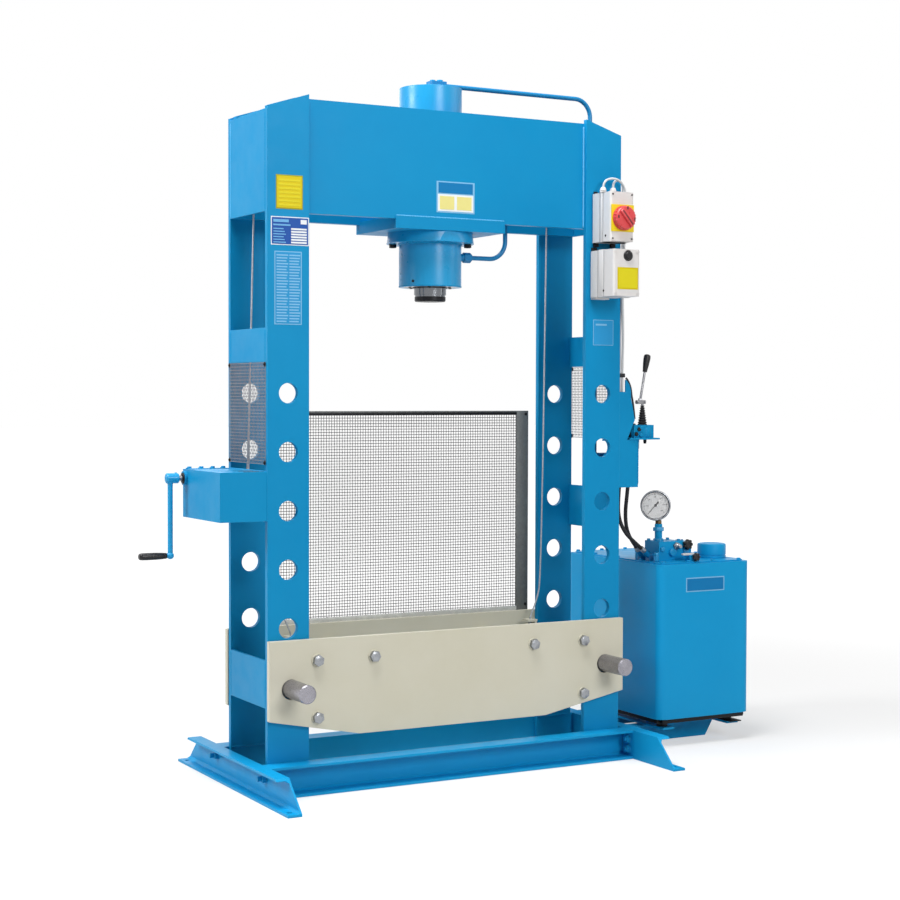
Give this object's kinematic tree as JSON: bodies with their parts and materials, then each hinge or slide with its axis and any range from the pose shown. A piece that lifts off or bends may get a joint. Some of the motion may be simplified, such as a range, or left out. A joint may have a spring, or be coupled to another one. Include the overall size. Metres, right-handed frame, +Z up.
{
  "type": "workshop hydraulic press",
  "caption": "Open H-frame hydraulic press with a ram in its head, a pinned bed lifted by a hand winch, a lever valve and an oil tank beside it.",
  "frame": {"origin": "on the floor, under the ram's axis, midway between the feet's anchor holes", "axes": "+X to the operator's right, towards the oil tank; +Y to the back; +Z up along the ram's axis"},
  "size_m": [2.265, 0.956, 2.34],
  "materials": {
    "blue_paint": "gloss",
    "sand_paint": "semi-gloss",
    "bare_steel": "brushed",
    "zinc_steel": "satin",
    "chrome": "polished",
    "dark_steel": "blackened",
    "black_plastic": "matte",
    "white_plastic": "matte",
    "yellow_plastic": "satin",
    "red_plastic": "gloss",
    "rubber": "matte",
    "needle": "matte"
  },
  "bodies": {
    "frame": {"column_plate_left_front": "blue_paint", "column_plate_left_rear": "blue_paint", "column_plate_right_front": "blue_paint", "column_plate_right_rear": "blue_paint", "column_battens": "blue_paint", "head_plates": "blue_paint", "cylinder_mount_plate": "blue_paint", "foot_left": "blue_paint", "foot_right": "blue_paint", "base_beams": "blue_paint", "cylinder_barrel": "blue_paint", "winch_housing": "blue_paint", "winch_gearbox": "blue_paint", "isolator_box": "blue_paint", "control_box": "blue_paint", "valve_bracket": "blue_paint", "valve_body": "blue_paint", "oil_tank": "blue_paint", "tank_lid": "blue_paint", "pack_skid": "blue_paint", "oil_block": "blue_paint", "hand_valves": "blue_paint", "pipe_fittings": "blue_paint", "oil_pipes": "blue_paint", "gland_ring": "bare_steel", "frame_bolts": "zinc_steel", "side_guards": "zinc_steel", "pulley_axles": "zinc_steel", "wire_ropes": "zinc_steel", "pressure_gauge": "zinc_steel", "cable_glands": "white_plastic", "isolator_plate": "yellow_plastic", "lever_boot": "rubber", "rubber_mounts": "rubber", "cables": "rubber", "oil_hoses": "rubber"},
    "ram": {"ram_rod": "chrome", "ram_nose": "dark_steel"},
    "pin_left_body": {"pin_left": "bare_steel"},
    "pin_right_body": {"pin_right": "bare_steel"},
    "bed": {"bed_plate_front": "sand_paint", "bed_plate_rear": "sand_paint", "bed_spacers": "sand_paint", "bed_bolts": "zinc_steel", "rear_guard_frame": "sand_paint", "rear_guard_mesh": "zinc_steel"},
    "crank": {"crank_shaft": "bare_steel", "crank_arm": "blue_paint"},
    "grip": {"crank_grip": "black_plastic"},
    "drum": {"winch_drum": "bare_steel"},
    "guide_pulley_pair": {"guide_pulleys": "zinc_steel"},
    "left_pulley_pair": {"top_pulleys_left": "zinc_steel"},
    "right_pulley": {"top_pulley_right": "zinc_steel"},
    "isolator_switch": {"isolator_knob": "red_plastic"},
    "start_button": {"push_button": "black_plastic"},
    "lever": {"valve_lever": "black_plastic"},
    "needle_body": {"gauge_needle": "needle"},
    "cap": {"filler_cap": "blue_paint"},
    "relief": {"relief_knob": "black_plastic"},
    "release": {"release_knob": "black_plastic"}
  },
  "joints": [
    {"name": "ram_slide", "type": "slide", "parent": "frame", "child": "ram", "axis": [0, 0, -1], "range_m": [-0.03, 0.3]},
    {"name": "pin_left_slide", "type": "slide", "parent": "frame", "child": "pin_left_body", "axis": [0, -1, 0], "range_m": [0, 0.42]},
    {"name": "pin_right_slide", "type": "slide", "parent": "frame", "child": "pin_right_body", "axis": [0, -1, 0], "range_m": [0, 0.42]},
    {"name": "bed_play", "type": "slide", "parent": "frame", "child": "bed", "axis": [0, 0, 1], "range_m": [0, 0.0044]},
    {"name": "crank_turn", "type": "hinge", "parent": "frame", "child": "crank", "pos_m": [-0.882, 0.14, 1.001], "axis": [1, 0, 0], "continuous": true},
    {"name": "grip_turn", "type": "hinge", "parent": "crank", "child": "grip", "pos_m": [-0.942, 0.14, 0.749], "axis": [1, 0, 0], "continuous": true},
    {"name": "drum_turn", "type": "hinge", "parent": "frame", "child": "drum", "pos_m": [-0.745, 0.048, 0.924], "axis": [0, 1, 0], "continuous": true},
    {"name": "guide_turn", "type": "hinge", "parent": "frame", "child": "guide_pulley_pair", "pos_m": [-0.676, 0.052, 0.986], "axis": [0, 1, 0], "continuous": true},
    {"name": "left_pulley_turn", "type": "hinge", "parent": "frame", "child": "left_pulley_pair", "pos_m": [-0.569, 0.106, 2.1], "axis": [0, 1, 0], "continuous": true},
    {"name": "right_pulley_turn", "type": "hinge", "parent": "frame", "child": "right_pulley", "pos_m": [0.51, 0.114, 2.1], "axis": [0, 1, 0], "continuous": true},
    {"name": "isolator_turn", "type": "hinge", "parent": "frame", "child": "isolator_switch", "pos_m": [0.596, -0.285, 1.882], "axis": [0, 1, 0], "range_deg": [0, 90]},
    {"name": "button_press", "type": "slide", "parent": "frame", "child": "start_button", "axis": [0, 1, 0], "range_m": [0, 0.005], "stiffness_N_per_m": 800},
    {"name": "lever_tilt", "type": "hinge", "parent": "frame", "child": "lever", "pos_m": [0.79, -0.13, 1.16], "axis": [0, 1, 0], "range_deg": [-15, 15], "stiffness_Nm_per_rad": 12, "deforming": ["lever_boot"]},
    {"name": "needle_turn", "type": "hinge", "parent": "frame", "child": "needle_body", "pos_m": [0.956, 0.021, 0.871], "axis": [0.5592, 0.829, 0], "range_deg": [0, 270]},
    {"name": "cap_turn", "type": "hinge", "parent": "frame", "child": "cap", "pos_m": [1.199, 0, 0.7], "axis": [0, 0, 1], "range_deg": [0, 60]},
    {"name": "relief_turn", "type": "hinge", "parent": "frame", "child": "relief", "pos_m": [1.055, -0.05, 0.726], "axis": [0, 1, 0], "range_deg": [0, 360]},
    {"name": "release_turn", "type": "hinge", "parent": "frame", "child": "release", "pos_m": [1.039, -0.12, 0.686], "axis": [0, 1, 0], "range_deg": [0, 360]}
  ],
  "couplings": [
    {"joint": "drum_turn", "follows": "crank_turn", "ratio": 0.033333},
    {"joint": "guide_turn", "follows": "crank_turn", "ratio": -0.037931},
    {"joint": "left_pulley_turn", "follows": "crank_turn", "ratio": 0.037931},
    {"joint": "right_pulley_turn", "follows": "crank_turn", "ratio": 0.037931}
  ]
}
